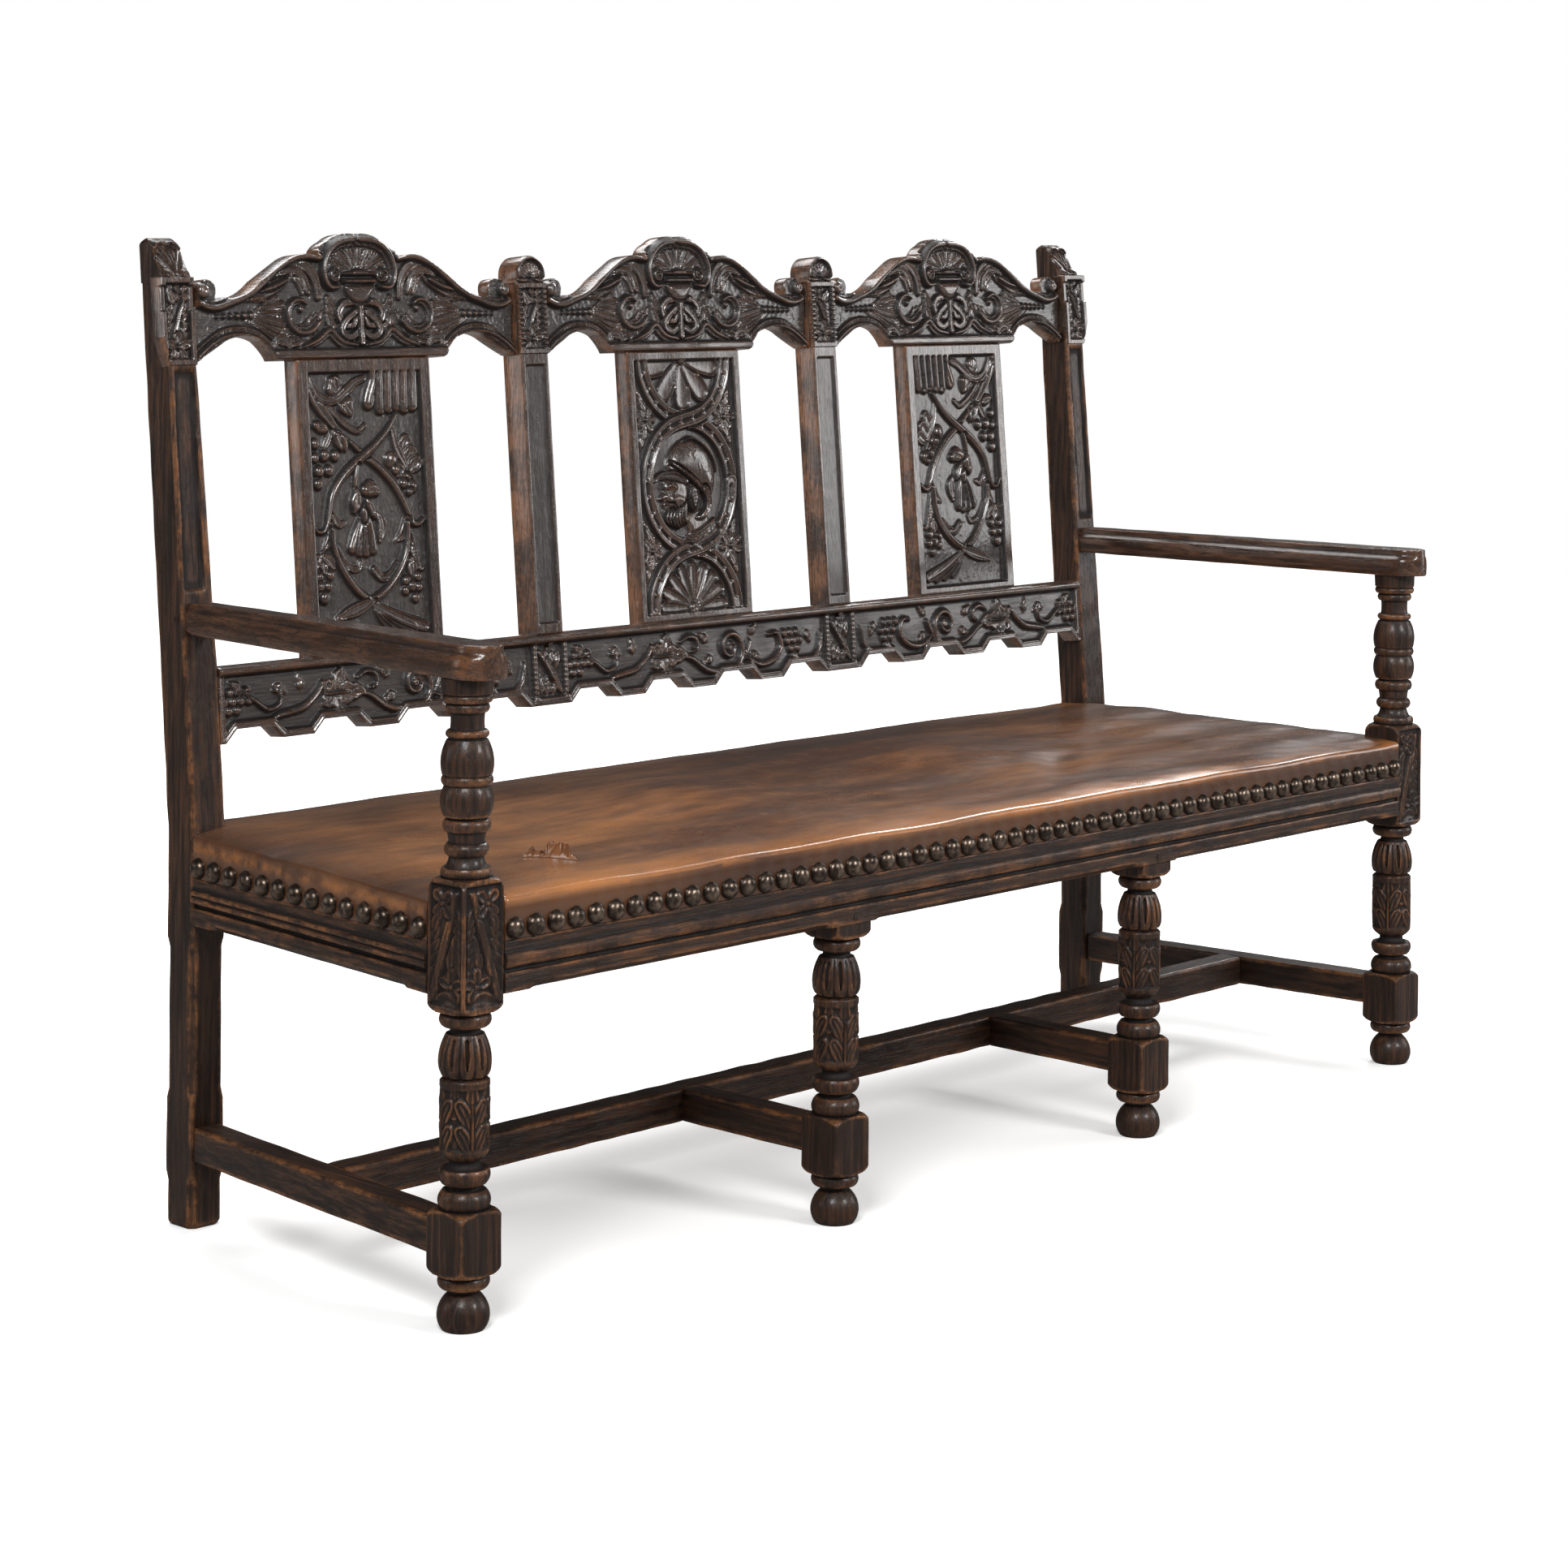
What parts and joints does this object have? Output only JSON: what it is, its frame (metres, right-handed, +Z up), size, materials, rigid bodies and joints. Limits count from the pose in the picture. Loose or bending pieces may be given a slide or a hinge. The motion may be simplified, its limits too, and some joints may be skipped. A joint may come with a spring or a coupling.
{
  "type": "settle",
  "caption": "Long carved oak settle with a nailed leather seat, open arms on turned supports, turned front legs, plain stretchers and a raked back of carved splats and crests.",
  "frame": {"origin": "middle of the settle's box, on the floor", "axes": "+X along the settle to the viewer's right, +Y to its back, +Z up"},
  "size_m": [1.7626, 0.6434, 1.13],
  "materials": {
    "oak": "dark waxed and worn",
    "leather": "old polished hide",
    "nails": "dark patinated",
    "webbing": "jute",
    "stuffing": "matted fibre"
  },
  "bodies": {
    "root": {"post_left": "oak", "post_right": "oak", "muntin_left": "oak", "muntin_right": "oak", "crest_left": "oak", "crest_centre": "oak", "crest_right": "oak", "lower_back_rail": "oak", "splat_left": "oak", "splat_centre": "oak", "splat_right": "oak", "arm_left": "oak", "arm_right": "oak", "leg_front_left": "oak", "leg_front_right": "oak", "leg_mid_left": "oak", "leg_mid_right": "oak", "seat_rail_front": "oak", "seat_rail_back": "oak", "seat_rail_left": "oak", "seat_rail_right": "oak", "seat_bearer_left": "oak", "seat_bearer_right": "oak", "stretcher_left": "oak", "stretcher_right": "oak", "stretcher_long": "oak", "stretcher_short_left": "oak", "stretcher_short_right": "oak", "pegs_seat": "oak", "pegs_base": "oak", "pegs_mid_legs": "oak", "pegs_back": "oak", "pegs_arms": "oak", "webbing_cross": "webbing", "webbing_long": "webbing", "seat_pad": "stuffing", "seat_leather": "leather", "nails_front": "nails", "nails_left": "nails", "nails_right": "nails", "tacks_back": "nails"}
  },
  "joints": []
}
